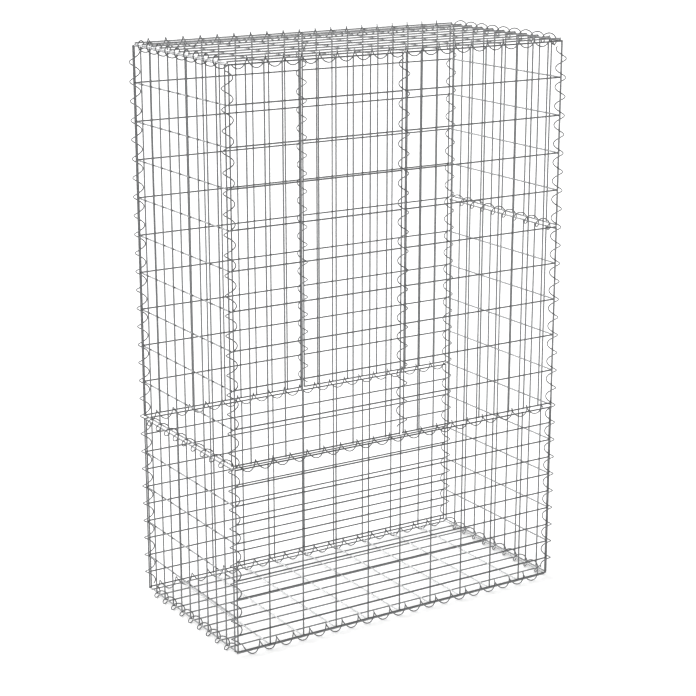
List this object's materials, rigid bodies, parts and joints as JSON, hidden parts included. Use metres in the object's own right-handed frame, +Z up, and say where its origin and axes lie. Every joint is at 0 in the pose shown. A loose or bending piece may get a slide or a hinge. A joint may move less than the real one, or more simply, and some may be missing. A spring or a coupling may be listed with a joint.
{
  "type": "gabion basket",
  "caption": "Tall empty gabion basket of welded steel mesh, laced along every edge and seam by helical spirals, to be filled with stone as one bay of a wall.",
  "frame": {"origin": "middle of the ground that the basket stands on, under the lowest turns of its bottom spirals", "axes": "+X along the wide front, to the right seen from the front; +Y from front to back; +Z up"},
  "size_m": [1.0286, 0.5286, 1.5215],
  "materials": {
    "mesh_wire": "galvanised, dull grey",
    "spiral_wire": "galvanised, dull grey"
  },
  "bodies": {
    "root": {"base_panel": "mesh_wire", "lid_panel": "mesh_wire", "front_lower_panel": "mesh_wire", "back_lower_panel": "mesh_wire", "front_upper_left_panel": "mesh_wire", "front_upper_right_panel": "mesh_wire", "back_upper_left_panel": "mesh_wire", "back_upper_right_panel": "mesh_wire", "left_lower_panel": "mesh_wire", "left_upper_panel": "mesh_wire", "right_lower_panel": "mesh_wire", "right_upper_panel": "mesh_wire", "front_left_corner_spiral": "spiral_wire", "front_right_corner_spiral": "spiral_wire", "back_left_corner_spiral": "spiral_wire", "back_right_corner_spiral": "spiral_wire", "front_top_spiral": "spiral_wire", "back_top_spiral": "spiral_wire", "left_top_spiral": "spiral_wire", "right_top_spiral": "spiral_wire", "front_bottom_spiral": "spiral_wire", "back_bottom_spiral": "spiral_wire", "left_bottom_spiral": "spiral_wire", "right_bottom_spiral": "spiral_wire", "front_waist_spiral": "spiral_wire", "back_waist_spiral": "spiral_wire", "left_waist_spiral": "spiral_wire", "right_waist_spiral": "spiral_wire", "front_centre_spiral": "spiral_wire", "back_centre_spiral": "spiral_wire"}
  },
  "joints": []
}
